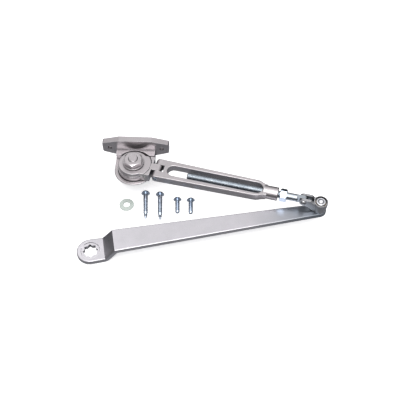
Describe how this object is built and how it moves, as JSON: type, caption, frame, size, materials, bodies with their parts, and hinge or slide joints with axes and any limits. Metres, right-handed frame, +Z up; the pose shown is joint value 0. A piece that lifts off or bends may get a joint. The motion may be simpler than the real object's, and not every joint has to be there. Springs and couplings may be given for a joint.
{
  "type": "hold-open door closer arm",
  "caption": "Folded double-lever hold-open arm for a surface door closer: main arm with star socket, adjustable slotted forearm, friction shoe, and loose fixings.",
  "frame": {"origin": "centre of the eight-pointed spindle socket, on the underside of the main arm's pad, which is the surface everything lies on", "axes": "+Z up along the socket's axis, away from the surface; +Y towards the door frame face that the shoe's mounting plate is screwed to; +X along that face, from the socket towards the elbow"},
  "size_m": [0.302, 0.1636, 0.049],
  "materials": {
    "painted_cast": "silver lacquer, satin, slightly pinkish",
    "painted_steel": "silver lacquer on formed steel bar, satin",
    "cast_knuckle": "silver lacquer on fine-grained casting",
    "zinc_steel": "bright zinc plate, bluish",
    "bright_steel": "bright drawn steel",
    "chrome_cap": "polished",
    "bronze": "sintered bronze",
    "friction": "moulded friction lining",
    "spring_steel": "blued spring steel",
    "nylon": "pale grey plated washer, dull"
  },
  "bodies": {
    "shoe": {"shoe_bracket": "painted_cast", "clutch_bolt": "painted_cast", "spring_seat_washer": "zinc_steel", "spring_washers": "spring_steel", "lower_friction_disc": "friction", "upper_friction_disc": "friction", "clutch_washer": "painted_cast"},
    "adjusting_nut": {"clutch_nut": "painted_cast"},
    "link": {"hold_open_link": "painted_cast", "clutch_plate": "painted_cast", "plate_dowels": "bright_steel", "link_bush": "bronze"},
    "sleeve": {"forearm_sleeve": "painted_cast", "fork_pin": "bright_steel"},
    "rod": {"threaded_rod": "bright_steel"},
    "lock_nut": {"jam_nut": "zinc_steel"},
    "knuckle": {"elbow_knuckle": "cast_knuckle", "elbow_rivet": "cast_knuckle", "elbow_bush": "bronze"},
    "main_lever": {"main_arm": "painted_steel", "elbow_stud": "bright_steel", "elbow_screw": "chrome_cap", "elbow_washer": "zinc_steel"},
    "loose_wood_screws": {"wood_screws": "zinc_steel"},
    "loose_machine_screws": {"machine_screws": "zinc_steel"},
    "loose_washer": {"spindle_washer": "nylon"}
  },
  "joints": [
    {"name": "adjusting_nut_turn", "type": "hinge", "parent": "shoe", "child": "adjusting_nut", "pos_m": [0.04317, 0.11261, 0.03315], "axis": [0, 0, 1], "continuous": true},
    {"name": "shoe_pivot", "type": "hinge", "parent": "shoe", "child": "link", "pos_m": [0.04317, 0.11261, 0.03315], "axis": [0, 0, 1], "range_deg": [-150, 10]},
    {"name": "fork_tilt", "type": "hinge", "parent": "link", "child": "sleeve", "pos_m": [0.07447, 0.10596, 0.03315], "axis": [0.2079, 0.9781, 0], "range_deg": [-10, 10]},
    {"name": "rod_adjust", "type": "slide", "parent": "sleeve", "child": "rod", "axis": [0.9781, -0.2079, 0], "range_m": [-0.0025, 0.06]},
    {"name": "lock_nut_turn", "type": "hinge", "parent": "rod", "child": "lock_nut", "pos_m": [0.23097, 0.07269, 0.03315], "axis": [0.9781, -0.2079, 0], "continuous": true},
    {"name": "elbow_tilt", "type": "hinge", "parent": "rod", "child": "knuckle", "pos_m": [0.2566, 0.06724, 0.03315], "axis": [0.2079, 0.9781, 0], "range_deg": [-5, 5]},
    {"name": "elbow_pivot", "type": "hinge", "parent": "knuckle", "child": "main_lever", "pos_m": [0.27694, 0.06292, 0.03315], "axis": [0, 0, 1], "range_deg": [-2, 150]},
    {"name": "slide_wood_screws", "type": "slide", "parent": "shoe", "child": "loose_wood_screws", "axis": [0, -1, 0], "range_m": [0, 0.02]},
    {"name": "slide_machine_screws", "type": "slide", "parent": "shoe", "child": "loose_machine_screws", "axis": [0, -1, 0], "range_m": [0, 0.02]},
    {"name": "slide_washer", "type": "slide", "parent": "shoe", "child": "loose_washer", "axis": [-1, 0, 0], "range_m": [0, 0.025]}
  ]
}
